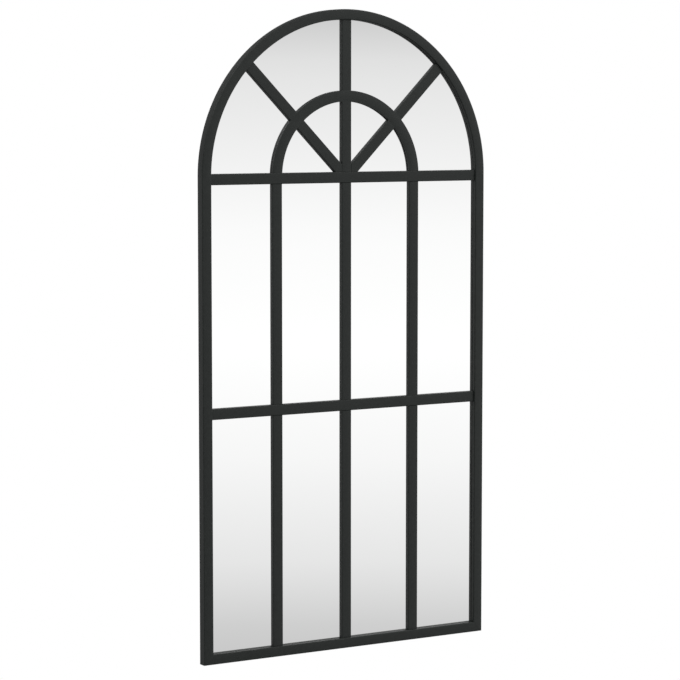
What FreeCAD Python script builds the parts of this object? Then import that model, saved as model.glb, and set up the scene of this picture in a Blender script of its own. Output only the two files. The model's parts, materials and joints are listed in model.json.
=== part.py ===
import math
import os

import FreeCAD
import Part

# Arched window-style wall mirror: a welded frame of square tube and flat glazing bars, one arched sheet of
# mirror glass, a hardboard back held by offset clips, and two swinging D-rings to hang it by.
# All sizes are in millimetres. Seen from the front, x runs to the right, y towards the wall and z up.
# The origin lies on the wall plane, midway between the two points where the rings bear on their hooks.

# Whole mirror
overall_width = 510.0
overall_height = 1000.0
hang_drop = 45.0  # hanging points below the springing line of the arch
overrun = 1.0  # how far a cutting tool reaches past what it cuts

# Square tube of the outer frame
tube_face = 16.0
tube_depth = 16.0
tube_wall = 1.2
tube_corner = 1.5

# Flat glazing bars
bar_width = 17.0
bar_thickness = 4.5
bar_edge = 1.2  # rounding of the two front edges
bar_setback = 3.0  # front of the bars behind the front of the frame
transom_drop = 4.0  # middle of the transom below the springing line
mid_rail_height = 385.0  # middle of the mid rail above the bottom edge
inner_arch_drop = 2.0  # centre of the inner arch below the springing line
spoke_angle = 45.0  # outer spokes from the upright, in degrees

# Glass and back
glass_thickness = 3.0
glass_gap = 0.3  # glass edge to the inside of the tube
back_thickness = 2.5
back_gap = 0.4  # back panel edge to the inside of the tube

# Self-tapping pan-head screw, used for the clips and the hanger straps
screw_head_radius = 2.6
screw_head_height = 1.7
screw_head_bevel = 0.9
screw_shank_radius = 1.45
screw_length = 6.5
screw_tip_length = 1.8
screw_tip_radius = 0.4
screw_clearance = 0.05

# Offset retaining clip
clip_width = 12.0
clip_sheet = 1.0
clip_foot = 11.5  # length on the back of the tube
clip_toe = 9.0  # length on the back panel
clip_gap = 0.3  # step of the clip to the inside of the tube
clip_bend = 0.5  # inside radius of the bends
low_clip_rise = 90.0  # lowest stile clip above the bottom rail
high_clip_drop = 30.0  # highest stile clip below the end of the hanger strap
rail_clip_share = 0.4  # place of the bottom clips along half the opening
arch_clip_angles = (45.0, 90.0, 135.0)

# Hanger strap, folded double round the straight leg of its ring
strap_sheet = 0.8
strap_width = 7.0
strap_length = 26.0  # ring axis to the lower end
strap_pinch = 4.0  # ring axis to where the two layers meet
strap_end_round = 3.0
strap_screw_drops = (7.2, 19.0)  # screws below the ring axis
hanger_inset = 10.0  # middle of the hanger from the side of the frame

# D-ring of round wire
wire_radius = 1.1
wire_clearance = 0.05
ring_half_width = 6.2  # to the middle of the wire
ring_bend = 2.5  # bends beside the straight leg, to the middle of the wire
ring_reach = 6.0  # ring axis to the centre of the round end
ring_lean = 2.5  # degrees that the ring leans on the tube when it is turned up

# Rubber wall bumper
bumper_height = 5.0
bumper_radius = 5.0
bumper_top_radius = 4.4
bumper_round = 0.8
bumper_inset = 40.0  # bumper centre from the side of the frame

# Places that follow from the sizes above
half_width = overall_width / 2
half_opening = half_width - tube_face
tube_middle = half_width - tube_face / 2
hanger_middle = half_width - hanger_inset
springing = hang_drop
bottom = springing + half_width - overall_height
rail_top = bottom + tube_face
tube_back = -bumper_height
tube_front = tube_back - tube_depth
bar_front = tube_front + bar_setback
bar_back = bar_front + bar_thickness
glass_back = bar_back + glass_thickness
panel_back = glass_back + back_thickness
recess = tube_back - panel_back
mullion_pitch = (half_opening + bar_width / 2) / 2
mid_rail_middle = bottom + mid_rail_height
transom_middle = springing - transom_drop
transom_top = transom_middle + bar_width / 2
inner_arch_middle = springing - inner_arch_drop
ring_axis_height = wire_radius - ring_half_width - ring_reach
bore_radius = wire_radius + wire_clearance
barrel_radius = bore_radius + strap_sheet
ring_axis_depth = tube_back + barrel_radius
strap_face = tube_back + 2 * strap_sheet
hole_radius = screw_shank_radius + screw_clearance

right = FreeCAD.Vector(1, 0, 0)
backward = FreeCAD.Vector(0, 1, 0)
up = FreeCAD.Vector(0, 0, 1)


def at(x, y, z):
    return FreeCAD.Vector(x, y, z)


# Flat face with straight sides and a rounding of its own at each corner
def rounded_face(corners, radii):
    entries = []
    middles = []
    exits = []
    for index, corner in enumerate(corners):
        radius = radii[index]
        before = (corners[index - 1] - corner).normalize()
        after = (corners[(index + 1) % len(corners)] - corner).normalize()
        half_angle = before.getAngle(after) / 2
        reach = radius / math.tan(half_angle)
        entries.append(corner + before * reach)
        exits.append(corner + after * reach)
        middles.append(corner + (before + after).normalize() * (radius / math.sin(half_angle) - radius))
    edges = []
    for index, radius in enumerate(radii):
        edges.append(Part.makeLine(exits[index - 1], entries[index]))
        if radius > 0:
            edges.append(Part.Arc(entries[index], middles[index], exits[index]).toShape())
    return Part.Face(Part.Wire(edges))


def rectangle(corner, across, along):
    return [corner, corner + across, corner + across + along, corner + along]


def block(low, high):
    size = high - low
    return Part.makeBox(size.x, size.y, size.z, low)


# Arched slab: straight sides, flat foot, half-round head centred on the springing line
def arched_slab(half, foot, front, thickness):
    edges = [
        Part.makeLine(at(-half, front, springing), at(-half, front, foot)),
        Part.makeLine(at(-half, front, foot), at(half, front, foot)),
        Part.makeLine(at(half, front, foot), at(half, front, springing)),
        Part.Arc(at(half, front, springing), at(0, front, springing + half), at(-half, front, springing)).toShape(),
    ]
    return Part.Face(Part.Wire(edges)).extrude(backward * thickness)


def round_slab(radius, height):
    return Part.makeCylinder(radius, tube_depth, at(0, tube_front, height), backward)


# Hollow section of the frame tube, with its depth along y and its face along the given direction
def tube_section(corner, across):
    inner_corner = corner + across * tube_wall + backward * tube_wall
    inner_face = across * (tube_face - 2 * tube_wall)
    inner_depth = backward * (tube_depth - 2 * tube_wall)
    outer = rounded_face(rectangle(corner, across * tube_face, backward * tube_depth), [tube_corner] * 4)
    inner = rounded_face(rectangle(inner_corner, inner_face, inner_depth), [0] * 4)
    return outer.cut(inner)


# Wedge on one side of the mitre plane at a bottom corner, to cut away what lies there
def mitre_wedge(side, upper):
    outer_x = side * (half_width + overrun)
    inner_x = side * (half_opening - overrun)
    low = bottom - overrun
    high = rail_top + overrun
    third = at(outer_x, tube_front, high) if upper else at(inner_x, tube_front, low)
    corners = [at(outer_x, tube_front, low), at(inner_x, tube_front, high), third]
    return Part.Face(Part.makePolygon(corners + corners[:1])).extrude(backward * tube_depth)


# Screw holes go through the back wall of the tube only
def drilled(tube, places):
    for x, z in places:
        tube = tube.cut(Part.makeCylinder(hole_radius, tube_wall + overrun, at(x, tube_back - tube_wall, z), backward))
    return tube


def stile(side, places):
    corner = at(min(side * half_width, side * half_opening), tube_front, bottom)
    tube = tube_section(corner, right).extrude(up * (springing - bottom))
    return drilled(tube.cut(mitre_wedge(side, False)), places)


def bottom_rail(places):
    tube = tube_section(at(-half_width, tube_front, bottom), up).extrude(right * overall_width)
    for side in (-1, 1):
        tube = tube.cut(mitre_wedge(side, True))
    return drilled(tube, places)


def arch_head(places):
    section = tube_section(at(half_opening, tube_front, springing), right)
    return drilled(section.revolve(at(0, 0, springing), -backward, 180), places)


# Section of a glazing bar with its two front edges rounded
def bar_section(corner, across):
    corners = rectangle(corner, across * bar_width, backward * bar_thickness)
    return rounded_face(corners, [bar_edge, bar_edge, 0, 0])


def upright_bar(x, low, high):
    return bar_section(at(x - bar_width / 2, bar_front, low), right).extrude(up * (high - low))


def level_bar(height):
    length = 2 * (half_opening + overrun)
    bar = bar_section(at(-length / 2, bar_front, height - bar_width / 2), up).extrude(right * length)
    return bar.common(frame_opening)


# Half ring on the transom, its legs in line with the side mullions
def inner_arch():
    section = bar_section(at(mullion_pitch - bar_width / 2, bar_front, inner_arch_middle), right)
    ring = section.revolve(at(0, 0, inner_arch_middle), -backward, 180)
    reach = mullion_pitch + bar_width
    below = block(at(-reach, tube_front, transom_top - bar_width), at(reach, tube_back, transom_top))
    return ring.cut(below)


# Whole spoke from the hub in the middle of the transom to past the arch head
def whole_spoke(angle):
    spoke = upright_bar(0, transom_middle, transom_middle + overall_width)
    return spoke.rotate(at(0, 0, transom_middle), backward, angle)


# Inner spokes are coped to the transom, to the centre spoke and to the inside of the inner arch
def inner_spoke(angle):
    spoke = whole_spoke(angle).common(round_slab(mullion_pitch - bar_width / 2, inner_arch_middle))
    transom_block = block(at(-half_width, tube_front, bottom), at(half_width, tube_back, transom_top))
    spoke = spoke.cut(transom_block)
    if angle:
        half = bar_width / 2
        spoke = spoke.cut(block(at(-half, tube_front, bottom), at(half, tube_back, springing + half_width)))
    return spoke


# Outer spokes are coped to the outside of the inner arch and to the inside of the arch head
def outer_spoke(angle):
    spoke = whole_spoke(angle).cut(round_slab(mullion_pitch + bar_width / 2, inner_arch_middle))
    return spoke.common(frame_opening)


# Pan-head screw along y with its seat at the given depth
def screw(x, z, seat):
    tip = seat - screw_length
    crown = seat + screw_head_height
    corners = [
        at(x, tip, z),
        at(x + screw_tip_radius, tip, z),
        at(x + screw_shank_radius, tip + screw_tip_length, z),
        at(x + screw_shank_radius, seat, z),
        at(x + screw_head_radius, seat, z),
        at(x + screw_head_radius, crown - screw_head_bevel, z),
        at(x + screw_head_radius - screw_head_bevel, crown, z),
        at(x, crown, z),
    ]
    return Part.Face(Part.makePolygon(corners + corners[:1])).revolve(at(x, 0, z), backward, 360)


# Offset clip: foot on the back of the tube, step down beside it, toe on the back panel
def retaining_clip(x, z, turn):
    inside = tube_face / 2
    step = inside + clip_gap
    panel = tube_back - recess
    corners = [
        at(inside - clip_foot, tube_back, 0),
        at(step, tube_back, 0),
        at(step, panel, 0),
        at(step + clip_toe, panel, 0),
        at(step + clip_toe, panel + clip_sheet, 0),
        at(step + clip_sheet, panel + clip_sheet, 0),
        at(step + clip_sheet, tube_back + clip_sheet, 0),
        at(inside - clip_foot, tube_back + clip_sheet, 0),
    ]
    outside_bend = clip_bend + clip_sheet
    profile = rounded_face(corners, [0, clip_bend, outside_bend, 0, 0, clip_bend, outside_bend, 0])
    clip = profile.extrude(up * clip_width)
    clip.translate(up * (-clip_width / 2))
    clip = clip.cut(Part.makeCylinder(hole_radius, clip_sheet, at(0, tube_back, 0), backward))
    clip = clip.rotate(at(0, 0, 0), backward, turn)
    clip.translate(at(x, 0, z))
    return clip


# Strap in side view: flat on the tube, once round the ring's leg and back down on itself
def hanger_strap(side):
    x = side * hanger_middle
    axis = at(x, ring_axis_depth, ring_axis_height)
    end = ring_axis_height - strap_length
    pinch = at(x, strap_face, ring_axis_height - strap_pinch)
    to_axis = axis - pinch
    swing = math.asin(barrel_radius / to_axis.Length)
    run = math.sqrt(to_axis.Length ** 2 - barrel_radius ** 2)
    heading = math.atan2(to_axis.z, to_axis.y) - swing
    tangent = pinch + at(0, run * math.cos(heading), run * math.sin(heading))
    start_angle = math.atan2(tangent.z - axis.z, tangent.y - axis.y)
    top_angle = (start_angle + math.pi) / 2
    top = axis + at(0, barrel_radius * math.cos(top_angle), barrel_radius * math.sin(top_angle))
    foot = at(x, tube_back, end)
    under = at(x, tube_back, ring_axis_height)
    heel = at(x, strap_face, end)
    edges = [
        Part.makeLine(foot, under),
        Part.Arc(under, top, tangent).toShape(),
        Part.makeLine(tangent, pinch),
        Part.makeLine(pinch, heel),
        Part.makeLine(heel, foot),
    ]
    strap = Part.Face(Part.Wire(edges)).extrude(right * strap_width)
    strap.translate(right * (-strap_width / 2))
    strap = strap.cut(Part.makeCylinder(bore_radius, strap_width, axis - right * (strap_width / 2), right))
    corner = at(x - strap_width / 2, tube_back, end)
    height = up * (strap_length + barrel_radius)
    outline = rounded_face(rectangle(corner, right * strap_width, height), [strap_end_round, strap_end_round, 0, 0])
    strap = strap.common(outline.extrude(backward * (2 * barrel_radius)))
    for drop in strap_screw_drops:
        seat = at(x, tube_back, ring_axis_height - drop)
        strap = strap.cut(Part.makeCylinder(hole_radius, 2 * strap_sheet, seat, backward))
    return strap


def wire_disc(centre, direction):
    return Part.Face(Part.Wire(Part.makeCircle(wire_radius, centre, direction)))


def wire_run(start, end):
    return wire_disc(start, end - start).extrude(end - start)


def wire_turn(centre, start, angle):
    heading = (start - centre).cross(backward)
    return wire_disc(start, heading).revolve(centre, -backward, angle)


# Ring turned up: straight leg in the strap, two tight bends, short sides and a half-round end
def hanger_ring(side):
    x = side * hanger_middle
    y = ring_axis_depth
    axis = at(x, y, ring_axis_height)
    leg = ring_half_width - ring_bend
    low = ring_axis_height + ring_bend
    high = ring_axis_height + ring_reach
    pieces = [
        wire_run(at(x - leg, y, ring_axis_height), at(x + leg, y, ring_axis_height)),
        wire_turn(at(x + leg, y, low), at(x + leg, y, ring_axis_height), 90),
        wire_run(at(x + ring_half_width, y, low), at(x + ring_half_width, y, high)),
        wire_turn(at(x, y, high), at(x + ring_half_width, y, high), 180),
        wire_run(at(x - ring_half_width, y, high), at(x - ring_half_width, y, low)),
        wire_turn(at(x - leg, y, low), at(x - ring_half_width, y, low), 90),
    ]
    ring = pieces[0].fuse(pieces[1:]).removeSplitter()
    return ring.rotate(axis, right, ring_lean)


def wall_bumper(side):
    x = side * (half_width - bumper_inset)
    z = bottom + tube_face / 2
    corners = [
        at(x, tube_back, z),
        at(x + bumper_radius, tube_back, z),
        at(x + bumper_top_radius, 0, z),
        at(x, 0, z),
    ]
    return rounded_face(corners, [0, 0, bumper_round, 0]).revolve(at(x, 0, z), backward, 360)


# Where the clips sit along the middle of the tube, with the turn that points each toe inwards
strap_end = ring_axis_height - strap_length
high_clip = strap_end - high_clip_drop
low_clip = rail_top + low_clip_rise
stile_clip_heights = (low_clip, (low_clip + high_clip) / 2, high_clip)
left_clips = [(-tube_middle, height, 0) for height in stile_clip_heights]
right_clips = [(tube_middle, height, 180) for height in stile_clip_heights]
rail_clips = [(side * rail_clip_share * half_opening, bottom + tube_face / 2, -90) for side in (-1, 1)]
arch_clips = []
for angle in arch_clip_angles:
    around = math.radians(angle)
    x = tube_middle * math.cos(around)
    z = springing + tube_middle * math.sin(around)
    arch_clips.append((x, z, 180 - angle))
clips = left_clips + right_clips + rail_clips + arch_clips


def strap_screw_places(side):
    return [(side * hanger_middle, ring_axis_height - drop) for drop in strap_screw_drops]


def clip_screw_places(group):
    return [(x, z) for x, z, turn in group]


frame_opening = arched_slab(half_opening, rail_top, tube_front, tube_depth)
nodes = {}

# Outer frame
nodes["left_stile"] = stile(-1, clip_screw_places(left_clips) + strap_screw_places(-1))
nodes["right_stile"] = stile(1, clip_screw_places(right_clips) + strap_screw_places(1))
nodes["bottom_rail"] = bottom_rail(clip_screw_places(rail_clips))
nodes["arch_head"] = arch_head(clip_screw_places(arch_clips))

# Glazing bars of the straight part
nodes["transom"] = level_bar(transom_middle)
nodes["mid_rail"] = level_bar(mid_rail_middle)
for name, column in (("left", -1), ("centre", 0), ("right", 1)):
    x = column * mullion_pitch
    nodes["lower_mullion_" + name] = upright_bar(x, rail_top, mid_rail_middle - bar_width / 2)
    nodes["upper_mullion_" + name] = upright_bar(x, mid_rail_middle + bar_width / 2, transom_middle - bar_width / 2)

# Fan of bars in the head
nodes["inner_arch"] = inner_arch()
for name, column in (("left", -1), ("centre", 0), ("right", 1)):
    nodes["inner_spoke_" + name] = inner_spoke(column * spoke_angle)
    nodes["outer_spoke_" + name] = outer_spoke(column * spoke_angle)

# Glass and back
nodes["mirror_glass"] = arched_slab(half_opening - glass_gap, rail_top, bar_back, glass_thickness)
nodes["back_panel"] = arched_slab(half_opening - back_gap, rail_top, glass_back, back_thickness)

# Clips that hold the glass and back in the frame
nodes["retaining_clips"] = Part.makeCompound([retaining_clip(x, z, turn) for x, z, turn in clips])
nodes["clip_screws"] = Part.makeCompound([screw(x, z, tube_back + clip_sheet) for x, z, turn in clips])

# Hangers and bumpers
for name, side in (("left", -1), ("right", 1)):
    strap_screws = [screw(x, z, strap_face) for x, z in strap_screw_places(side)]
    nodes[name + "_hanger_strap"] = hanger_strap(side)
    nodes[name + "_hanger_ring"] = hanger_ring(side)
    nodes[name + "_hanger_screws"] = Part.makeCompound(strap_screws)
    nodes[name + "_wall_bumper"] = wall_bumper(side)

os.makedirs("parts", exist_ok=True)
for name, shape in nodes.items():
    shape.exportStep("parts/" + name + ".step")
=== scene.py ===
import json
from math import asin, atan2, cos, pi, radians, sin

import bmesh
import bpy
from mathutils import Matrix, Vector


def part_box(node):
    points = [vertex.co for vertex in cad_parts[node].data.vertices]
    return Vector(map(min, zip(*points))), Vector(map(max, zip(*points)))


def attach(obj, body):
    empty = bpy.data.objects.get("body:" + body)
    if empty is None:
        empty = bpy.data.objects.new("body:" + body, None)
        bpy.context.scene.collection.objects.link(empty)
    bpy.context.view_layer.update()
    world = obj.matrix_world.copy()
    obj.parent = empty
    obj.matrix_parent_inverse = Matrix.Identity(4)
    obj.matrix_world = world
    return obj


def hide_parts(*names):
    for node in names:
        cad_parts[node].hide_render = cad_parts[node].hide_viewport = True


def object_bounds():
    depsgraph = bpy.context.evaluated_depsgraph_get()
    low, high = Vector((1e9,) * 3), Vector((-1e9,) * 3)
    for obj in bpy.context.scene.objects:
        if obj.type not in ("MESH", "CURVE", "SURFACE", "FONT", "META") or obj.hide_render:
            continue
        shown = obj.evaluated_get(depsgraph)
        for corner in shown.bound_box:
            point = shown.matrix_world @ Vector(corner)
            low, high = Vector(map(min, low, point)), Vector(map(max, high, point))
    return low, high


# arched wall mirror: welded black frame, one sheet of mirror glass, hardboard back, clips and two D-rings
# the front looks along -Y, the wall is the plane y = 0, all sizes are metres

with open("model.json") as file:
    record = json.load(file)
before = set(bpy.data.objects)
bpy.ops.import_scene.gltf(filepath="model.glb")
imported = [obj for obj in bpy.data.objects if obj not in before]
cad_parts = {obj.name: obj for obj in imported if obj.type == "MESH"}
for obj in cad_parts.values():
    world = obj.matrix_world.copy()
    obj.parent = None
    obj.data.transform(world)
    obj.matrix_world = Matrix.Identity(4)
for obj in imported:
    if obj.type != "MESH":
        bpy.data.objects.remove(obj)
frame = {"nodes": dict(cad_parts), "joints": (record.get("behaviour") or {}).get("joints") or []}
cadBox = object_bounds()
nodes = frame["nodes"]
scene = bpy.context.scene
print("frame loaded:", len(nodes), "CAD pieces")


# node tree helpers

def addNode(tree, kind, inputs=None, **settings):
    node = tree.nodes.new(kind)
    for name, value in settings.items():
        setattr(node, name, value)
    for name, value in (inputs or {}).items():
        node.inputs[name].default_value = value
    return node


def plug(source, socket):
    socket.id_data.links.new(source, socket)


def feed(tree, kind, links, inputs=None, **settings):
    node = addNode(tree, kind, inputs, **settings)
    for name, source in links.items():
        plug(source, node.inputs[name])
    return node.outputs


def mathNode(tree, operation, first, second):
    node = addNode(tree, "ShaderNodeMath", operation=operation)
    for index, value in enumerate((first, second)):
        if isinstance(value, (int, float)):
            node.inputs[index].default_value = value
        else:
            plug(value, node.inputs[index])
    return node.outputs[0]


# finishes

noiseSpan = (0.3, 0.7)  # the part of 0 to 1 that noise really fills


def newFinish(name):
    material = bpy.data.materials.new(name)
    material.use_nodes = True
    tree = material.node_tree
    place = addNode(tree, "ShaderNodeTexCoord").outputs["Object"]
    return material, tree, tree.nodes["Principled BSDF"], place


def noiseOf(tree, place, size, detail=2.0, stretch=(1, 1, 1)):
    mapping = addNode(tree, "ShaderNodeMapping", {"Scale": stretch})
    plug(place, mapping.inputs["Vector"])
    noise = addNode(tree, "ShaderNodeTexNoise", {"Scale": 1 / size, "Detail": detail})
    plug(mapping.outputs["Vector"], noise.inputs["Vector"])
    return noise.outputs["Fac"]


def spread(tree, source, low, high):
    limits = {"From Min": noiseSpan[0], "From Max": noiseSpan[1], "To Min": low, "To Max": high}
    span = addNode(tree, "ShaderNodeMapRange", limits)
    plug(source, span.inputs["Value"])
    return span.outputs["Result"]


def shades(tree, source, *stops, steps="LINEAR"):
    ramp = addNode(tree, "ShaderNodeValToRGB")
    ramp.color_ramp.interpolation = steps
    points = ramp.color_ramp.elements
    while len(points) < len(stops):
        points.new(0.5)
    for point, (position, colour) in zip(points, stops):
        point.position = position
        point.color = (*colour, 1)
    plug(source, ramp.inputs["Fac"])
    return ramp.outputs["Color"]


def noiseShades(tree, source, dark, pale):
    return shades(tree, source, (noiseSpan[0], dark), (noiseSpan[1], pale))


def relief(tree, shader, height, depth):
    bump = addNode(tree, "ShaderNodeBump", {"Distance": depth})
    plug(height, bump.inputs["Height"])
    plug(bump.outputs["Normal"], shader.inputs["Normal"])


powderCoat = {
    "dark": (0.0080, 0.0103, 0.0091),
    "pale": (0.0110, 0.0138, 0.0123),
    "mottle": 0.006,  # size of the faint unevenness of the colour
    "satin": (0.40, 0.50),  # roughness, smoothest and dullest
    "dullSpot": 0.0015,
    "gloss": 0.335,
    "peel": 0.0017,  # orange peel, one wave
    "peelDepth": 0.000012,
}


def makePowderCoat(name, size):
    material, tree, shader, place = newFinish(name)
    mottle = noiseOf(tree, place, size["mottle"], detail=4)
    plug(noiseShades(tree, mottle, size["dark"], size["pale"]), shader.inputs["Base Color"])
    plug(spread(tree, noiseOf(tree, place, size["dullSpot"]), *size["satin"]), shader.inputs["Roughness"])
    shader.inputs["Specular IOR Level"].default_value = size["gloss"]
    relief(tree, shader, noiseOf(tree, place, size["peel"], detail=1), size["peelDepth"])
    return material


mirrorSilver = {
    "tint": (0.95, 0.952, 0.95), "haze": (0.0, 0.012), "hazeSize": 0.09,
    "edge": (0.10, 0.23, 0.18), "paint": (0.16, 0.165, 0.17),
    "edgeRough": 0.4,
    "layers": (0.04, 0.96),  # shares of the thickness where silver ends and paint begins
}


# silver seen from the front, green glass at the cut edge, grey paint on the back
def makeMirrorSilver(size):
    material, tree, shader, place = newFinish("mirrorSilver")
    front, back = (corner.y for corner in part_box("mirror_glass"))
    depth = feed(tree, "ShaderNodeMapRange", {
        "Value": feed(tree, "ShaderNodeSeparateXYZ", {"Vector": place})["Y"],
    }, {"From Min": front, "From Max": back})["Result"]
    silver, paint = size["layers"]
    layers = ((0.0, size["tint"]), (silver, size["edge"]), (paint, size["paint"]))
    plug(shades(tree, depth, *layers, steps="CONSTANT"), shader.inputs["Base Color"])
    plug(mathNode(tree, "LESS_THAN", depth, silver), shader.inputs["Metallic"])
    haze = spread(tree, noiseOf(tree, place, size["hazeSize"], detail=3), *size["haze"])
    behind = mathNode(tree, "GREATER_THAN", depth, silver)
    dull = mathNode(tree, "MULTIPLY", behind, size["edgeRough"])
    plug(mathNode(tree, "ADD", haze, dull), shader.inputs["Roughness"])
    return material


hardboard = {
    "deep": (0.150, 0.084, 0.044),
    "brown": (0.215, 0.126, 0.068),
    "fleck": (0.275, 0.172, 0.098),
    "tones": (0.34, 0.50, 0.66),  # where deep, brown and fleck lie in the mix of noises
    "fibre": 0.0007,  # size of a fibre fleck
    "stretch": (0.7, 1, 1),
    "cloud": 0.07,
    "shares": (0.7, 0.3),  # of fibres and clouds in the mix
    "rough": (0.55, 0.72),
    "gloss": 0.35,
    "grainDepth": 0.00005,
}


def makeHardboard(size):
    material, tree, shader, place = newFinish("hardboard")
    fibres = noiseOf(tree, place, size["fibre"], detail=3, stretch=size["stretch"])
    clouds = noiseOf(tree, place, size["cloud"], detail=3)
    parts = [mathNode(tree, "MULTIPLY", *pair) for pair in zip((fibres, clouds), size["shares"])]
    blend = mathNode(tree, "ADD", *parts)
    stops = zip(size["tones"], (size["deep"], size["brown"], size["fleck"]))
    plug(shades(tree, blend, *stops), shader.inputs["Base Color"])
    plug(spread(tree, clouds, *size["rough"]), shader.inputs["Roughness"])
    shader.inputs["Specular IOR Level"].default_value = size["gloss"]
    relief(tree, shader, fibres, size["grainDepth"])
    return material


# zinc plating: cell is the size of a crystal
zincSheet = {
    "dull": (0.50, 0.51, 0.52), "bright": (0.68, 0.69, 0.70),
    "cell": 0.0028, "rough": (0.28, 0.44), "depth": 0.00001,
}
ringWire = {
    "dull": (0.60, 0.60, 0.60), "bright": (0.74, 0.74, 0.73),
    "cell": 0.0016, "rough": (0.20, 0.32), "depth": 0.000006,
}
screwZinc = {
    "dull": (0.52, 0.51, 0.48), "bright": (0.66, 0.65, 0.61),
    "cell": 0.0014, "rough": (0.26, 0.40), "depth": 0.000008,
}


def makePlating(name, size):
    material, tree, shader, place = newFinish(name)
    crystals = addNode(tree, "ShaderNodeTexVoronoi", {"Scale": 1 / size["cell"]})
    plug(place, crystals.inputs["Vector"])
    tones = addNode(tree, "ShaderNodeSeparateColor")
    plug(crystals.outputs["Color"], tones.inputs["Color"])
    clouds = noiseOf(tree, place, size["cell"], detail=3)
    colour = shades(tree, tones.outputs["Red"], (0.0, size["dull"]), (1.0, size["bright"]))
    plug(colour, shader.inputs["Base Color"])
    plug(spread(tree, clouds, *size["rough"]), shader.inputs["Roughness"])
    shader.inputs["Metallic"].default_value = 1
    relief(tree, shader, clouds, size["depth"])
    return material


bumperRubber = {
    "dark": (0.012, 0.012, 0.013), "pale": (0.024, 0.024, 0.026),
    "grain": 0.0006, "rough": (0.68, 0.86), "depth": 0.00002,
}


def makeRubber(size):
    material, tree, shader, place = newFinish("bumperRubber")
    grain = noiseOf(tree, place, size["grain"], detail=3)
    plug(noiseShades(tree, grain, size["dark"], size["pale"]), shader.inputs["Base Color"])
    plug(spread(tree, grain, *size["rough"]), shader.inputs["Roughness"])
    relief(tree, shader, grain, size["depth"])
    return material


finishes = {
    "frame_black": makePowderCoat("frameBlack", powderCoat),
    "bar_black": makePowderCoat("barBlack", powderCoat),
    "mirror_glass": makeMirrorSilver(mirrorSilver),
    "hardboard": makeHardboard(hardboard),
    "zinc_sheet": makePlating("zincSheet", zincSheet),
    "ring_wire": makePlating("ringWire", ringWire),
    "screw_zinc": makePlating("screwZinc", screwZinc),
    "bumper_rubber": makeRubber(bumperRubber),
}
print("finishes made:", len(finishes))

sides = ("left", "right")
columns = ("left", "centre", "right")
straightBars = ("lower_mullion_", "upper_mullion_", "inner_spoke_", "outer_spoke_")
finishNodes = {
    "frame_black": ["left_stile", "right_stile", "bottom_rail", "arch_head"],
    "bar_black": ["transom", "mid_rail", "inner_arch"] + [
        bar + column for bar in straightBars for column in columns
    ],
    "mirror_glass": ["mirror_glass"],
    "hardboard": ["back_panel"],
    "zinc_sheet": ["retaining_clips"] + [side + "_hanger_strap" for side in sides],
    "ring_wire": [side + "_hanger_ring" for side in sides],
    "screw_zinc": ["clip_screws"] + [side + "_hanger_screws" for side in sides],
    "bumper_rubber": [side + "_wall_bumper" for side in sides],
}
for slotName, names in finishNodes.items():
    for name in names:
        mesh = nodes[name].data
        mesh.materials.clear()
        mesh.materials.append(finishes[slotName])
print("finishes on the CAD pieces")


# shape helpers: a node tree per rule, run once on a holder object and kept as a plain mesh

weldReach = 1e-6  # points closer than this are one


def newTree(name, sizes):
    tree = bpy.data.node_groups.new(name, "GeometryNodeTree")
    sockets = tree.interface
    sockets.new_socket("Geometry", in_out="INPUT", socket_type="NodeSocketGeometry")
    kinds = {int: "NodeSocketInt", float: "NodeSocketFloat", tuple: "NodeSocketVector"}
    for label, value in sizes.items():
        sockets.new_socket(label, in_out="INPUT", socket_type=kinds[type(value)]).default_value = value
    sockets.new_socket("Shape", in_out="INPUT", socket_type="NodeSocketObject")
    sockets.new_socket("Finish", in_out="INPUT", socket_type="NodeSocketMaterial")
    sockets.new_socket("Geometry", in_out="OUTPUT", socket_type="NodeSocketGeometry")
    return tree, addNode(tree, "NodeGroupInput").outputs


def softened(tree, mesh, crease):
    angle = addNode(tree, "GeometryNodeInputMeshEdgeAngle").outputs["Unsigned Angle"]
    fold = feed(tree, "FunctionNodeCompare", {"A": angle}, {"B": radians(crease)}, operation="GREATER_THAN")
    mesh = feed(tree, "GeometryNodeSetShadeSmooth", {"Geometry": mesh}, {"Shade Smooth": True})["Geometry"]
    links = {"Geometry": mesh, "Selection": fold["Result"]}
    return feed(tree, "GeometryNodeSetShadeSmooth", links, {"Shade Smooth": False}, domain="EDGE")["Geometry"]


def endTree(tree, given, mesh):
    plain = feed(tree, "GeometryNodeRealizeInstances", {"Geometry": mesh})["Geometry"]
    done = feed(tree, "GeometryNodeSetMaterial", {"Geometry": plain, "Material": given["Finish"]})["Geometry"]
    feed(tree, "NodeGroupOutput", {"Geometry": done})


def addTree(holder, label, tree, given):
    modifier = holder.modifiers.new(label, "NODES")
    modifier.node_group = tree
    for socket in tree.interface.items_tree:
        if socket.in_out == "INPUT" and socket.name in given:
            modifier[socket.identifier] = given[socket.name]


def runTree(tree, name, sizes, slotName, base=None):
    holder = bpy.data.objects.new(name, base or bpy.data.meshes.new(name))
    scene.collection.objects.link(holder)
    addTree(holder, "shape", tree, {**sizes, "Finish": finishes[slotName]})
    keepMesh(holder)
    return holder


def keepMesh(holder):
    seen = holder.evaluated_get(bpy.context.evaluated_depsgraph_get())
    mesh = bpy.data.meshes.new_from_object(seen)
    holder.modifiers.clear()
    holder.data = mesh


def reshaped(piece, change):
    shape = bmesh.new()
    shape.from_mesh(piece.data)
    change(shape)
    bmesh.ops.recalc_face_normals(shape, faces=shape.faces)
    shape.to_mesh(piece.data)
    shape.free()


def faceOutward(piece):
    reshaped(piece, lambda shape: None)


def pointMesh(name, points, joined=False, **values):
    mesh = bpy.data.meshes.new(name)
    count = len(points)
    edges = [(index, index + 1) for index in range(count - 1)] if joined else []
    mesh.from_pydata(points, edges, [])
    for label, numbers in values.items():
        mesh.attributes.new(label, "FLOAT", "POINT").data.foreach_set("value", numbers)
    return mesh


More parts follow.
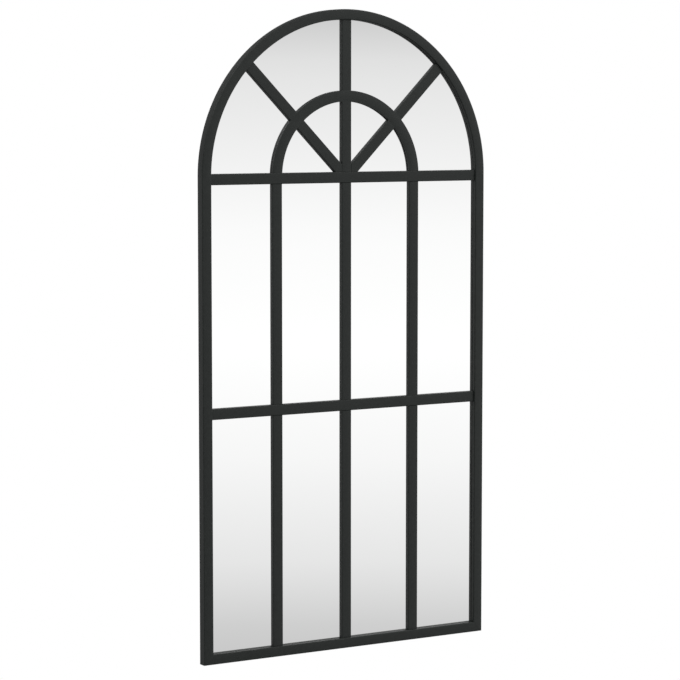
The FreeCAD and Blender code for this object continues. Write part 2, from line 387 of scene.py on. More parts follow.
def newPiece(name, slotName):
    mesh = bpy.data.meshes.new(name)
    mesh.materials.append(finishes[slotName])
    piece = bpy.data.objects.new(name, mesh)
    scene.collection.objects.link(piece)
    return piece


def standFor(piece, body, slotName, *names):
    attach(piece, body)
    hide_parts(*names)


def middleOf(box):
    return (box[0] + box[1]) / 2


# boxes of the separate solids in a CAD node that holds several
def islandBoxes(name):
    shape = bmesh.new()
    shape.from_mesh(nodes[name].data)
    bmesh.ops.remove_doubles(shape, verts=shape.verts, dist=weldReach)
    seen = set()
    boxes = []
    for start in shape.verts:
        if start in seen:
            continue
        seen.add(start)
        island = [start]
        for vertex in island:
            for edge in vertex.link_edges:
                other = edge.other_vert(vertex)
                if other not in seen:
                    seen.add(other)
                    island.append(other)
        low = Vector([min(vertex.co[axis] for vertex in island) for axis in range(3)])
        high = Vector([max(vertex.co[axis] for vertex in island) for axis in range(3)])
        boxes.append((low, high))
    shape.free()
    return boxes


# the coat runs over the rounded edges of tube and bar, so they shade as one soft surface

coatedSteel = {"Weld": 0.000002, "crease": 40}


def coatTree(size):
    tree, given = newTree("coatedSteel", {"Weld": size["Weld"]})
    links = {"Geometry": given["Geometry"], "Distance": given["Weld"]}
    joined = feed(tree, "GeometryNodeMergeByDistance", links)["Geometry"]
    endTree(tree, given, softened(tree, joined, size["crease"]))
    return tree


def coatSteel(tree, slotName):
    for name in finishNodes[slotName]:
        addTree(nodes[name], "coat", tree, {"Finish": finishes[slotName]})


coat = coatTree(coatedSteel)
coatSteel(coat, "frame_black")
coatSteel(coat, "bar_black")
print("coat run over the tube and bars")


# rolled tube of the head and the bent flat bar of the inner arch

def bentSectionTree(crease):
    tree, given = newTree("bentSection", {
        "Radius": 0.2, "Start": 0.0, "Sweep": pi, "Steps": 128,
        "Face": 0.016, "Depth": 0.016, "Wall": 0.0,
        "Front corner": 0.0015, "Back corner": 0.0015, "Corner steps": 6,
        "Centre": (0.0, 0.0, 0.0),
    })
    links = {
        "Radius": given["Radius"], "Start Angle": given["Start"], "Sweep Angle": given["Sweep"],
        "Resolution": given["Steps"],
    }
    path = feed(tree, "GeometryNodeCurveArc", links, mode="RADIUS")["Curve"]
    path = feed(tree, "GeometryNodeSetCurveNormal", {"Curve": path}, mode="Z_UP")["Curve"]
    links = {"Width": given["Face"], "Height": given["Depth"]}
    section = feed(tree, "GeometryNodeCurvePrimitiveQuadrilateral", links, mode="RECTANGLE")["Curve"]
    place = addNode(tree, "GeometryNodeInputPosition").outputs["Position"]
    height = feed(tree, "ShaderNodeSeparateXYZ", {"Vector": place})["Y"]
    front = feed(tree, "FunctionNodeCompare", {"A": height}, {"B": 0.0}, operation="GREATER_THAN")["Result"]
    links = {"Switch": front, "False": given["Back corner"], "True": given["Front corner"]}
    corner = feed(tree, "GeometryNodeSwitch", links, input_type="FLOAT")["Output"]
    links = {"Curve": section, "Radius": corner, "Count": given["Corner steps"]}
    section = feed(tree, "GeometryNodeFilletCurve", links, mode="POLY")["Curve"]
    whole = addNode(tree, "GeometryNodeJoinGeometry")
    bent = feed(tree, "GeometryNodeCurveToMesh", {"Curve": path, "Profile Curve": section})["Mesh"]
    # a tube has an inside too
    walls = mathNode(tree, "MULTIPLY", given["Wall"], 2.0)
    links = {
        "Width": mathNode(tree, "SUBTRACT", given["Face"], walls),
        "Height": mathNode(tree, "SUBTRACT", given["Depth"], walls),
    }
    bore = feed(tree, "GeometryNodeCurvePrimitiveQuadrilateral", links, mode="RECTANGLE")["Curve"]
    bore = feed(tree, "GeometryNodeCurveToMesh", {"Curve": path, "Profile Curve": bore})["Mesh"]
    links = {"Switch": mathNode(tree, "GREATER_THAN", given["Wall"], 0.0), "True": bore}
    plug(feed(tree, "GeometryNodeSwitch", links, input_type="GEOMETRY")["Output"], whole.inputs["Geometry"])
    plug(bent, whole.inputs["Geometry"])
    links = {"Geometry": whole.outputs["Geometry"], "Translation": given["Centre"]}
    upright = feed(tree, "GeometryNodeTransform", links, {"Rotation": (pi / 2, 0, 0)})["Geometry"]
    endTree(tree, given, softened(tree, upright, crease))
    return tree


archHead = {
    "Steps": 200, "Wall": 0.0012, "Front corner": 0.0015, "Back corner": 0.0015, "Corner steps": 6,
    "past": 2.0,  # degrees that the bend runs on below level, before its feet are cut
}
innerArch = {
    "Steps": 160, "Wall": 0.0, "Front corner": 0.0012, "Back corner": 0.00005, "Corner steps": 4,
    "past": 1.0,
}


# half ring that runs past level and is then cut off flat at its feet
def makeBentBar(tree, name, size, foot, slotName, node):
    past = radians(size["past"])
    piece = runTree(tree, name, {**size, "Start": -past, "Sweep": pi + 2 * past}, slotName)

    def cutFeet(shape):
        parts = list(shape.verts) + list(shape.edges) + list(shape.faces)
        plane = {"plane_co": (0, 0, foot), "plane_no": (0, 0, 1), "clear_inner": True}
        bmesh.ops.bisect_plane(shape, geom=parts, **plane)
        for side in (-1, 1):
            rim = [edge for edge in shape.edges if edge.is_boundary and edge.verts[0].co.x * side > 0]
            bmesh.ops.triangle_fill(shape, edges=rim, use_beauty=True)
            for edge in rim:
                edge.smooth = False

    reshaped(piece, cutFeet)
    standFor(piece, "mirror", slotName, node)


def makeArchHead(tree, size):
    low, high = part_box("arch_head")
    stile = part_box("left_stile")
    face = stile[1].x - stile[0].x
    sizes = {
        **size, "Radius": high.x - face / 2, "Face": face, "Depth": high.y - low.y,
        "Centre": (0.0, (low.y + high.y) / 2, low.z),
    }
    makeBentBar(tree, "rolledArchHead", sizes, low.z, "frame_black", "arch_head")


def makeInnerArch(tree, size):
    low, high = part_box("inner_arch")
    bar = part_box("transom")
    rise = high.z - low.z
    centre = (high.z + low.z - high.x ** 2 / rise) / 2  # of the circle through the two feet and the crown
    width = bar[1].z - bar[0].z
    sizes = {
        **size, "Radius": high.z - centre - width / 2, "Face": width, "Depth": high.y - low.y,
        "Centre": (0.0, (low.y + high.y) / 2, centre),
    }
    makeBentBar(tree, "bentInnerArch", sizes, low.z, "bar_black", "inner_arch")


bentTree = bentSectionTree(coatedSteel["crease"])
makeArchHead(bentTree, archHead)
makeInnerArch(bentTree, innerArch)
print("arch head and inner arch bent")


# glass and back panel, cut to the arch inside the tube

archedSheets = {
    "mirrorSheet": {"node": "mirror_glass", "slot": "mirror_glass", "gap": 0.0003, "arris": 0.0003},
    "backBoard": {"node": "back_panel", "slot": "hardboard", "gap": 0.00005, "arris": 0.0002},
}
sheetSteps = {"arch": 240, "arris": 2}


def makeArchedSheet(name, size, steps):
    low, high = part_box(size["node"])
    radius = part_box("right_stile")[0].x - size["gap"]
    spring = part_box("arch_head")[0].z
    outline = [(-radius, low.z), (radius, low.z)]
    for step in range(steps["arch"] + 1):
        angle = step / steps["arch"] * pi
        outline.append((radius * cos(angle), spring + radius * sin(angle)))

    def cutSheet(shape):
        front, back = ([shape.verts.new((x, y, z)) for x, z in outline] for y in (low.y, high.y))
        faces = [shape.faces.new(front), shape.faces.new(back)]
        rims = [edge for face in faces for edge in face.edges]
        for index in range(len(outline)):
            shape.faces.new((front[index - 1], front[index], back[index], back[index - 1]))
        cut = {"offset": size["arris"], "segments": steps["arris"], "profile": 0.5}
        bmesh.ops.bevel(shape, geom=rims, affect="EDGES", **cut)

    piece = newPiece(name, size["slot"])
    reshaped(piece, cutSheet)
    standFor(piece, "mirror", size["slot"], size["node"])


for name, size in archedSheets.items():
    makeArchedSheet(name, size, sheetSteps)
print("glass and back panel cut")


# screws and clips, one shape each, set out on the CAD places

def placeOnPointsTree():
    tree, given = newTree("placeOnPoints", {"Loose turn": 0.0, "Seed": 1})
    shape = feed(tree, "GeometryNodeObjectInfo", {"Object": given["Shape"]}, {"As Instance": True},
                 transform_space="ORIGINAL")["Geometry"]
    turn = feed(tree, "GeometryNodeInputNamedAttribute", {}, {"Name": "turn"}, data_type="FLOAT")["Attribute"]
    loose = addNode(tree, "FunctionNodeRandomValue", data_type="FLOAT")
    plug(given["Loose turn"], loose.inputs[3])  # Max, as a plain number
    plug(given["Seed"], loose.inputs["Seed"])
    total = feed(tree, "ShaderNodeMath", {0: turn, 1: loose.outputs[1]}, operation="ADD")[0]
    back = feed(tree, "ShaderNodeMath", {1: total}, {0: 0.0}, operation="SUBTRACT")[0]
    angles = feed(tree, "ShaderNodeCombineXYZ", {"Y": back}, {"X": -pi / 2})["Vector"]
    rotation = feed(tree, "FunctionNodeEulerToRotation", {"Euler": angles})["Rotation"]
    links = {"Points": given["Geometry"], "Instance": shape, "Rotation": rotation}
    endTree(tree, given, feed(tree, "GeometryNodeInstanceOnPoints", links)["Instances"])
    return tree


panScrew = {
    "Head radius": 0.0026, "Head height": 0.0017, "Squareness": 0.55,
    "Slot length": 0.0030, "Slot width": 0.0007, "Slot depth": 0.0010,
    "Core radius": 0.00112, "Thread radius": 0.00034, "Length": 0.0065, "Tip": 0.0018, "Turns": 4.5,
}
screwDetail = {
    "headSegments": 44,  # so that the corners of the slot fall between two of them
    "headRings": 28, "coreSides": 28, "threadSteps": 20, "threadSides": 4, "crease": 38,
    "sunk": 0.25,  # share of the head's height that the core runs up inside it
    "blunt": 0.25,  # the point's end, as a share of the core
    "lap": 1.06,  # the point runs a little way up inside the core
    "firstSeed": 3, "looseTurn": pi / 2,  # no two slots point the same way
}


def panScrewTree(sizes, detail):
    tree, given = newTree("panScrew", sizes)

    def calc(operation, first, second):
        return mathNode(tree, operation, first, second)

    # round ball pulled into a flat-bottomed pan head
    counts = {"Segments": detail["headSegments"], "Rings": detail["headRings"], "Radius": 1.0}
    ball = addNode(tree, "GeometryNodeMeshUVSphere", counts).outputs["Mesh"]
    place = addNode(tree, "GeometryNodeInputPosition").outputs["Position"]
    axes = feed(tree, "ShaderNodeSeparateXYZ", {"Vector": place})
    rise = calc("MAXIMUM", axes["Z"], 0.0)
    squares = [calc("MULTIPLY", axes[name], axes[name]) for name in "XY"]
    reach = calc("SQRT", calc("ADD", *squares), 0.0)
    reach = calc("MAXIMUM", reach, 1e-4)  # the poles themselves stay where they are
    swell = calc("POWER", reach, calc("SUBTRACT", given["Squareness"], 1.0))
    across = calc("MULTIPLY", swell, given["Head radius"])
    links = {
        "X": calc("MULTIPLY", axes["X"], across), "Y": calc("MULTIPLY", axes["Y"], across),
        "Z": calc("MULTIPLY", calc("POWER", rise, given["Squareness"]), given["Head height"]),
    }
    moved = feed(tree, "ShaderNodeCombineXYZ", links)["Vector"]
    head = feed(tree, "GeometryNodeSetPosition", {"Geometry": ball, "Position": moved})["Geometry"]
    # cross slot sunk from the crown
    sunk = calc("MULTIPLY", given["Slot depth"], 2.0)
    crown = feed(tree, "ShaderNodeCombineXYZ", {"Z": given["Head height"]})["Vector"]
    slots = []
    for along, over in (("Slot length", "Slot width"), ("Slot width", "Slot length")):
        size = feed(tree, "ShaderNodeCombineXYZ", {"X": given[along], "Y": given[over], "Z": sunk})["Vector"]
        bar = feed(tree, "GeometryNodeMeshCube", {"Size": size})["Mesh"]
        slots.append(feed(tree, "GeometryNodeTransform", {"Geometry": bar, "Translation": crown})["Geometry"])
    cut = addNode(tree, "GeometryNodeMeshBoolean", operation="DIFFERENCE", solver="EXACT")
    plug(head, cut.inputs["Mesh 1"])
    for slot in slots:
        plug(slot, cut.inputs["Mesh 2"])
    # core, point and thread
    straight = calc("SUBTRACT", given["Length"], given["Tip"])
    rod = calc("ADD", straight, calc("MULTIPLY", given["Head height"], detail["sunk"]))
    links = {"Radius": given["Core radius"], "Depth": rod}
    core = feed(tree, "GeometryNodeMeshCylinder", links, {"Vertices": detail["coreSides"]})["Mesh"]
    middle = calc("SUBTRACT", calc("MULTIPLY", rod, 0.5), straight)
    lift = feed(tree, "ShaderNodeCombineXYZ", {"Z": middle})["Vector"]
    core = feed(tree, "GeometryNodeTransform", {"Geometry": core, "Translation": lift})["Geometry"]
    links = {
        "Radius Top": given["Core radius"],
        "Radius Bottom": calc("MULTIPLY", given["Core radius"], detail["blunt"]),
        "Depth": calc("MULTIPLY", given["Tip"], detail["lap"]),
    }
    point = feed(tree, "GeometryNodeMeshCone", links, {"Vertices": detail["coreSides"]})["Mesh"]
    low = feed(tree, "ShaderNodeCombineXYZ", {"Z": calc("SUBTRACT", 0.0, given["Length"])})["Vector"]
    point = feed(tree, "GeometryNodeTransform", {"Geometry": point, "Translation": low})["Geometry"]
    links = {
        "Rotations": given["Turns"], "Start Radius": given["Core radius"], "End Radius": given["Core radius"],
        "Height": straight,
    }
    helix = feed(tree, "GeometryNodeCurveSpiral", links, {"Resolution": detail["threadSteps"]})["Curve"]
    helix = feed(tree, "GeometryNodeSetCurveNormal", {"Curve": helix}, mode="Z_UP")["Curve"]
    links = {"Radius": given["Thread radius"]}
    corners = {"Resolution": detail["threadSides"]}
    ridge = feed(tree, "GeometryNodeCurvePrimitiveCircle", links, corners)["Curve"]
    links = {"Curve": helix, "Profile Curve": ridge}
    thread = feed(tree, "GeometryNodeCurveToMesh", links, {"Fill Caps": True})["Mesh"]
    deep = feed(tree, "ShaderNodeCombineXYZ", {"Z": calc("SUBTRACT", 0.0, straight)})["Vector"]
    thread = feed(tree, "GeometryNodeTransform", {"Geometry": thread, "Translation": deep})["Geometry"]
    whole = addNode(tree, "GeometryNodeJoinGeometry")
    for mesh in (thread, point, core, cut.outputs["Mesh"]):
        plug(mesh, whole.inputs["Geometry"])
    endTree(tree, given, softened(tree, whole.outputs["Geometry"], detail["crease"]))
    return tree


# folded strip: a bent path with its own bend at each corner, given width and then sheet thickness

sheetFold = {"crease": 60, "weld": 2e-6, "endSteps": 8, "edgeSteps": 2, "edgeAngle": 50}


def foldedStripTree(crease):
    tree, given = newTree("foldedStrip", {"Width": 0.01, "Bend steps": 8})
    path = feed(tree, "GeometryNodeMeshToCurve", {"Mesh": given["Geometry"]})["Curve"]
    bend = feed(tree, "GeometryNodeInputNamedAttribute", {}, {"Name": "bend"}, data_type="FLOAT")["Attribute"]
    links = {"Curve": path, "Radius": bend, "Count": given["Bend steps"]}
    path = feed(tree, "GeometryNodeFilletCurve", links, {"Limit Radius": True}, mode="POLY")["Curve"]
    path = feed(tree, "GeometryNodeSetCurveNormal", {"Curve": path}, mode="Z_UP")["Curve"]
    half = mathNode(tree, "MULTIPLY", given["Width"], 0.5)
    near = feed(tree, "ShaderNodeCombineXYZ", {"Y": mathNode(tree, "SUBTRACT", 0.0, half)})["Vector"]
    far = feed(tree, "ShaderNodeCombineXYZ", {"Y": half})["Vector"]
    line = feed(tree, "GeometryNodeCurvePrimitiveLine", {"Start": near, "End": far}, mode="POINTS")["Curve"]
    strip = feed(tree, "GeometryNodeCurveToMesh", {"Curve": path, "Profile Curve": line})["Mesh"]
    endTree(tree, given, softened(tree, strip, crease))
    return tree


def foldSheet(tree, name, corners, size, slotName):
    bends = [bend for x, y, bend in corners]
    base = pointMesh(name, [(x, y, 0) for x, y, bend in corners], joined=True, bend=bends)
    piece = runTree(tree, name, {"Width": size["width"], "Bend steps": size["bendSteps"]}, slotName, base)

    def roundEnds(shape):
        bmesh.ops.remove_doubles(shape, verts=shape.verts, dist=sheetFold["weld"])
        ends = [vertex for vertex in shape.verts if len(vertex.link_edges) == 2]
        cut = {"offset": size["endRound"], "segments": sheetFold["endSteps"], "profile": 0.5}
        bmesh.ops.bevel(shape, geom=ends, affect="VERTICES", **cut)

    reshaped(piece, roundEnds)
    sheet = piece.modifiers.new("sheet", "SOLIDIFY")
    sheet.thickness = size["sheet"]
    sheet.offset = -1
    edge = piece.modifiers.new("edge", "BEVEL")
    edge.width = size["edge"]
    edge.segments = sheetFold["edgeSteps"]
    edge.limit_method = "ANGLE"
    edge.angle_limit = radians(sheetFold["edgeAngle"])
    keepMesh(piece)
    return piece


retainingClip = {
    "width": 0.012, "sheet": 0.001,
    "foot": 0.0035, "step": 0.0083,  # from the screw to the end on the tube, and to the step down
    "drop": 0.003, "toe": 0.009, "bend": 0.0005, "bendSteps": 6, "endRound": 0.0012, "edge": 0.00012,
}


def makeScrews(scatter, size, detail):
    shape = runTree(panScrewTree(size, detail), "screwShape", {}, "screw_zinc")
    faceOutward(shape)
    groups = {"clipScrews": "clip_screws"}
    groups.update({side + "HangerScrews": side + "_hanger_screws" for side in sides})
    for seed, (name, node) in enumerate(groups.items(), detail["firstSeed"]):
        boxes = islandBoxes(node)
        seats = [(*middleOf(box).xz, box[1].y - size["Head height"]) for box in boxes]
        base = pointMesh(name, [(x, seat, z) for x, z, seat in seats], turn=[0.0] * len(seats))
        sizes = {"Loose turn": detail["looseTurn"], "Seed": seed, "Shape": shape}
        piece = runTree(scatter, name, sizes, "screw_zinc", base)
        standFor(piece, "mirror", "screw_zinc", node)
    bpy.data.objects.remove(shape)


def makeClips(scatter, fold, size):
    step = size["step"]
    outside = size["bend"] + size["sheet"]
    corners = [
        (-size["foot"], 0, 0), (step, 0, size["bend"]), (step, -size["drop"], outside),
        (step + size["toe"], -size["drop"], 0),
    ]
    shape = foldSheet(fold, "clipShape", corners, size, "zinc_sheet")
    shape.data.transform(Matrix.Rotation(pi / 2, 4, "X"))  # out of the wall is up
    screws = [middleOf(box) for box in islandBoxes("clip_screws")]
    points = []
    turns = []
    for box in islandBoxes("retaining_clips"):
        middle = middleOf(box)
        screw = min(screws, key=lambda place: (place.xz - middle.xz).length)
        points.append((screw.x, box[1].y - size["sheet"], screw.z))
        turns.append(atan2(middle.z - screw.z, middle.x - screw.x))
    base = pointMesh("retainingClips", points, turn=turns)
    piece = runTree(scatter, "retainingClips", {"Shape": shape}, "zinc_sheet", base)
    standFor(piece, "mirror", "zinc_sheet", "retaining_clips")
    bpy.data.objects.remove(shape)


scatterTree = placeOnPointsTree()
foldTree = foldedStripTree(sheetFold["crease"])
makeScrews(scatterTree, panScrew, screwDetail)
makeClips(scatterTree, foldTree, retainingClip)
print("screws and clips set out")


# hangers: a strap folded round the straight leg of each D-ring

hangerStrap = {
    "width": 0.007, "sheet": 0.00078,
    "between": 0.00002,  # the two layers all but touch
    "pinch": 0.004, "pinchBend": 0.0008,  # where they close up below the ring
    "bendSteps": 10, "endRound": 0.003, "edge": 0.0001,
}


def makeStrap(fold, side, size):
    low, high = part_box(side + "_hanger_strap")
    barrel = (high.y - low.y) / 2
    # the ring's axis, out from the tube and up from the strap's end
    axis = Vector((barrel, high.z - low.z - barrel))
    pinch = Vector((2 * size["sheet"] + size["between"], axis.y - size["pinch"]))
    reach = axis - pinch
    heading = atan2(reach.y, reach.x) - asin(barrel / reach.length)
    crown = axis.y + barrel
    over = pinch.x + (crown - pinch.y) * cos(heading) / sin(heading)
    corners = [
        (0, 0, 0), (0, crown, barrel), (over, crown, barrel),
        (*pinch, size["pinchBend"]), (pinch.x, 0, 0),
    ]
    piece = foldSheet(fold, side + "HangerStrap", corners, size, "zinc_sheet")
    turned = Matrix(((0, 0, 1, 0), (1, 0, 0, 0), (0, 1, 0, 0), (0, 0, 0, 1)))
    piece.data.transform(Matrix.Translation(((low.x + high.x) / 2, low.y, low.z)) @ turned)
    standFor(piece, "mirror", "zinc_sheet", side + "_hanger_strap")


hangerRing = {
    "Wire": 0.0011, "Bend steps": 14, "Wire steps": 20, "crease": 60,
    "halfWidth": 0.0062, "height": 0.0122, "bend": 0.0025,
    "lean": 2.5,  # degrees in towards the tube, at rest
}


def wireLoopTree(crease):
    tree, given = newTree("wireLoop", {"Wire": 0.001, "Bend steps": 12, "Wire steps": 20})
    path = feed(tree, "GeometryNodeMeshToCurve", {"Mesh": given["Geometry"]})["Curve"]
    bend = feed(tree, "GeometryNodeInputNamedAttribute", {}, {"Name": "bend"}, data_type="FLOAT")["Attribute"]
    links = {"Curve": path, "Radius": bend, "Count": given["Bend steps"]}
    path = feed(tree, "GeometryNodeFilletCurve", links, {"Limit Radius": True}, mode="POLY")["Curve"]
    links = {"Radius": given["Wire"], "Resolution": given["Wire steps"]}
    circle = feed(tree, "GeometryNodeCurvePrimitiveCircle", links, mode="RADIUS")["Curve"]
    wire = feed(tree, "GeometryNodeCurveToMesh", {"Curve": path, "Profile Curve": circle})["Mesh"]
    endTree(tree, given, softened(tree, wire, crease))
    return tree


def makeRing(tree, joint, size):
    side = joint["name"].split("_")[0]
    axis = Vector(joint["pos_m"])
    half, top, lean = size["halfWidth"], size["height"], radians(size["lean"])
    corners = [(-half, 0), (half, 0), (half, top), (-half, top)]
    points = [axis + Vector((x, -up * sin(lean), up * cos(lean))) for x, up in corners]
    mesh = bpy.data.meshes.new(side + "HangerRing")
    mesh.from_pydata(points, [(0, 1), (1, 2), (2, 3), (3, 0)], [])
    bends = [size["bend"], size["bend"], half, half]
    mesh.attributes.new("bend", "FLOAT", "POINT").data.foreach_set("value", bends)
    piece = runTree(tree, side + "HangerRing", size, "ring_wire", mesh)
    faceOutward(piece)
    standFor(piece, joint["child"], "ring_wire", side + "_hanger_ring")


wallBumper = {
    "radius": 0.005, "top": 0.0044, "height": 0.005, "chamfer": 0.0002,
    "round": 0.0008, "roundSteps": 8,
    "dish": 0.0012, "dishDepth": 0.0008, "dishSteps": 6,
    "sides": 40,
}


def makeBumper(side, size):
    low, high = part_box(side + "_wall_bumper")
    tall, top, soft = size["height"], size["top"], size["round"]
    chamfer, roundSteps, dishSteps = size["chamfer"], size["roundSteps"], size["dishSteps"]
    outline = [(0, 0), (size["radius"] - chamfer, 0), (size["radius"], chamfer)]
    for step in range(roundSteps + 1):
        angle = step / roundSteps * pi / 2
        outline.append((top - soft + soft * cos(angle), tall - soft + soft * sin(angle)))
    for step in range(1, dishSteps + 1):  # small moulded dish in the middle of the face
        angle = step / dishSteps * pi / 2
        outline.append((size["dish"] * cos(angle), tall - size["dishDepth"] * sin(angle)))
    outline[-1] = (0, outline[-1][1])
    piece = newPiece(side + "WallBumper", "bumper_rubber")
    middle = middleOf((low, high))

    def turn(shape):
        points = [shape.verts.new((middle.x + reach, low.y + out, middle.z)) for reach, out in outline]
        rim = [shape.edges.new(pair) for pair in zip(points, points[1:])]
        spin = {"axis": (0, 1, 0), "cent": (middle.x, 0, middle.z), "angle": 2 * pi, "steps": size["sides"]}
        bmesh.ops.spin(shape, geom=points + rim, use_merge=True, **spin)
        bmesh.ops.remove_doubles(shape, verts=shape.verts, dist=weldReach)
        for face in shape.faces:
            face.smooth = True

    reshaped(piece, turn)
    standFor(piece, "mirror", "bumper_rubber", side + "_wall_bumper")


ringTree = wireLoopTree(hangerRing["crease"])
for side in sides:
    makeStrap(foldTree, side, hangerStrap)
    makeBumper(side, wallBumper)
for joint in frame["joints"]:
    makeRing(ringTree, joint, hangerRing)
print("hangers and bumpers made")


# stage: pale floor, soft lamps, and a backdrop that metal and glass see as a pale glow with darker ends

floorSize = {
    "half": 6.0, "height": -1.6, "tint": (0.86, 0.86, 0.86), "rough": 0.9,
    "white": (0.85, 1.0),  # share of plain white, under the mirror and far out
    "fade": (0.8, 2.4),  # metres from the middle
}


def makeFloor(size):
    half = size["half"]
    mesh = bpy.data.meshes.new("floor")
    corners = [(-half, -half), (half, -half), (half, half), (-half, half)]
    mesh.from_pydata([(x, y, size["height"]) for x, y in corners], [], [(0, 1, 2, 3)])
    floor = bpy.data.objects.new("floor", mesh)
    scene.collection.objects.link(floor)
    material = bpy.data.materials.new("paleFloor")
    material.use_nodes = True
    tree = material.node_tree
    shader = tree.nodes["Principled BSDF"]
    shader.inputs["Base Color"].default_value = (*size["tint"], 1)
    shader.inputs["Roughness"].default_value = size["rough"]
    white = addNode(tree, "ShaderNodeEmission")
    rays = addNode(tree, "ShaderNodeLightPath")
    mix = addNode(tree, "ShaderNodeMixShader")
    place = addNode(tree, "ShaderNodeTexCoord").outputs["Object"]
    flat = feed(tree, "ShaderNodeVectorMath", {0: place}, {1: (1, 1, 0)}, operation="MULTIPLY")["Vector"]
    reach = feed(tree, "ShaderNodeVectorMath", {0: flat}, operation="LENGTH")["Value"]
    limits = {
        "From Min": size["fade"][0], "From Max": size["fade"][1],
        "To Min": size["white"][0], "To Max": size["white"][1],
    }
    share = feed(tree, "ShaderNodeMapRange", {"Value": reach}, limits)["Result"]
    plug(mathNode(tree, "MULTIPLY", rays.outputs["Is Camera Ray"], share), mix.inputs["Fac"])
    plug(shader.outputs["BSDF"], mix.inputs[1])
    plug(white.outputs["Emission"], mix.inputs[2])
    plug(mix.outputs["Shader"], tree.nodes["Material Output"].inputs["Surface"])
    mesh.materials.append(material)
    floor.visible_glossy = False  # glass and metal see the backdrop below the horizon instead


backdrop = {
    "soft": 0.55,  # light on the object from all round
    "reach": 60.0,  # degrees above and below the horizon that the glow is drawn over
    # degrees above the horizon, and how bright metal and glass see it there
    "glow": (
        (-60, 0.08), (-32, 0.12), (-18, 0.42), (-11.9, 0.63), (-10.4, 0.825), (-8, 0.976), (-5.5, 1.06),
        (-3, 1.02), (-0.4, 0.88), (0.8, 0.81), (2, 0.62), (8, 0.64), (20, 0.90), (60, 0.60),
    ),
    "flag": (-0.92, -0.39, 0.0),  # heading of the dark screen that the left corners see
    "flagSpan": (0.84, 0.98), "flagLevel": 0.08,
    "rearSpan": (-0.2, 0.6), "rearLevel": 0.60,  # towards the wall side
    # to the left and right of what the glass shows: a dark screen and a bright one, by their X
    "darkSpan": (0.06, 0.14, 0.37, 0.452), "darkLevel": 0.48,
    "brightSpan": (0.575, 0.68), "brightLevel": 1.6,
    # lighter below, on the side that the mirror faces: degrees, and Y
    "lowSpan": (-32, -13), "lowFront": (-0.5, -0.1), "lowLift": 1.3,
}


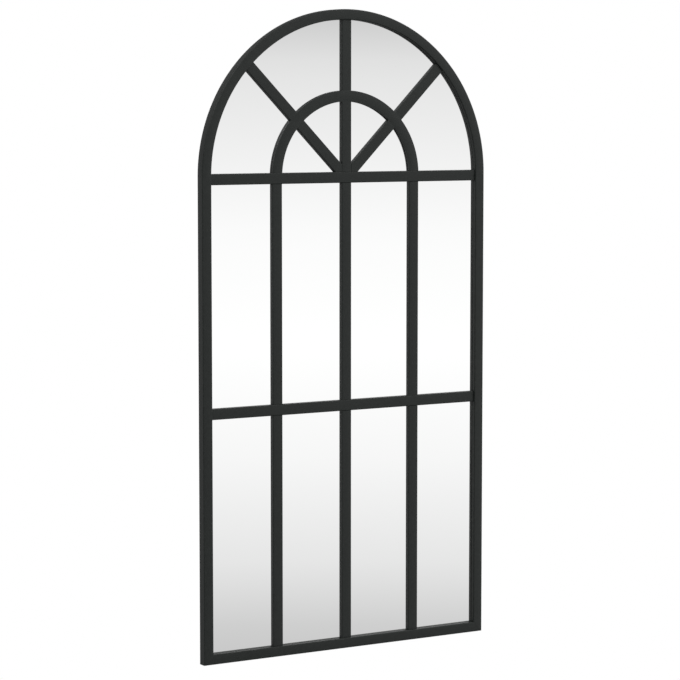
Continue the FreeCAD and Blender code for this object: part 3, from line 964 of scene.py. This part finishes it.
def makeBackdrop(size):
    world = bpy.data.worlds.new("studio")
    world.use_nodes = True
    scene.world = world
    tree = world.node_tree
    heading = addNode(tree, "ShaderNodeTexCoord").outputs["Generated"]
    axes = feed(tree, "ShaderNodeSeparateXYZ", {"Vector": heading})
    height = mathNode(tree, "ARCSINE", axes["Z"], 0.0)

    def between(source, span, low, high):
        limits = {"From Min": span[0], "From Max": span[1], "To Min": low, "To Max": high}
        eased = feed(tree, "ShaderNodeMapRange", {"Value": source}, limits, interpolation_type="SMOOTHSTEP")
        return eased["Result"]

    def times(first, second):
        return mathNode(tree, "MULTIPLY", first, second)

    reach = radians(size["reach"])
    limits = {"From Min": -reach, "From Max": reach}
    span = feed(tree, "ShaderNodeMapRange", {"Value": height}, limits)["Result"]
    stops = [(0.5 + rise / (2 * size["reach"]), (level,) * 3) for rise, level in size["glow"]]
    turned = feed(tree, "ShaderNodeVectorMath", {0: heading}, {1: size["flag"]}, operation="DOT_PRODUCT")
    lowSpan = [radians(rise) for rise in size["lowSpan"]]
    screen = times(between(axes["X"], size["darkSpan"][:2], 0.0, 1 - size["darkLevel"]),
                   between(axes["X"], size["darkSpan"][2:], 1.0, 0.0))
    lift = times(between(height, lowSpan, size["lowLift"], 0.0),
                 between(axes["Y"], size["lowFront"], 1.0, 0.0))
    shade = between(turned["Value"], size["flagSpan"], 1.0, size["flagLevel"])
    shade = times(shade, between(axes["Y"], size["rearSpan"], 1.0, size["rearLevel"]))
    shade = times(shade, between(axes["X"], size["brightSpan"], 1.0, size["brightLevel"]))
    shade = times(shade, mathNode(tree, "SUBTRACT", 1.0, screen))
    shade = times(shade, mathNode(tree, "ADD", 1.0, lift))
    glow = feed(tree, "ShaderNodeBackground", {"Color": shades(tree, span, *stops), "Strength": shade})
    soft = tree.nodes["Background"]
    soft.inputs["Color"].default_value = (1, 1, 1, 1)
    soft.inputs["Strength"].default_value = size["soft"]
    white = addNode(tree, "ShaderNodeBackground", {"Color": (1, 1, 1, 1)})
    rays = addNode(tree, "ShaderNodeLightPath")
    seen = addNode(tree, "ShaderNodeMixShader")
    mirrored = mathNode(tree, "MAXIMUM", rays.outputs["Is Glossy Ray"], rays.outputs["Is Transmission Ray"])
    plug(mirrored, seen.inputs["Fac"])
    plug(soft.outputs["Background"], seen.inputs[1])
    plug(glow["Background"], seen.inputs[2])
    final = addNode(tree, "ShaderNodeMixShader")
    plug(rays.outputs["Is Camera Ray"], final.inputs["Fac"])
    plug(seen.outputs["Shader"], final.inputs[1])
    plug(white.outputs["Background"], final.inputs[2])
    plug(final.outputs["Shader"], tree.nodes["World Output"].inputs["Surface"])


lamps = {
    "keyLamp": {"place": (-2.4, -2.2, 3.0), "power": 60, "across": 2.0},
    "fillLamp": {"place": (2.4, -2.6, 2.8), "power": 45, "across": 2.0},
    "wallLamp": {"place": (0.8, 3.0, 2.8), "power": 75, "across": 2.4, "mirrored": False},
}


def makeLamp(name, size):
    light = bpy.data.lights.new(name, "AREA")
    light.energy = size["power"]
    light.size = size["across"]
    lamp = bpy.data.objects.new(name, light)
    scene.collection.objects.link(lamp)
    middle = (cadBox[0] + cadBox[1]) / 2
    lamp.location = size["place"]
    lamp.visible_glossy = size.get("mirrored", True)
    lamp.rotation_euler = (middle - lamp.location).to_track_quat("-Z", "Y").to_euler()


viewpoint = {"place": (-2.0454, -3.4068, 0.1569), "turn": -30.962, "dip": 5.332, "lens": 134.83}


def makeCamera(size):
    camera = bpy.data.objects.new("camera", bpy.data.cameras.new("camera"))
    scene.collection.objects.link(camera)
    camera.location = size["place"]
    camera.rotation_euler = (radians(90 - size["dip"]), 0, radians(size["turn"]))
    camera.data.lens = size["lens"]
    scene.camera = camera


makeFloor(floorSize)
makeBackdrop(backdrop)
for name, size in lamps.items():
    makeLamp(name, size)
makeCamera(viewpoint)
scene.view_settings.view_transform = "Standard"
print("stage, lamps and camera set")
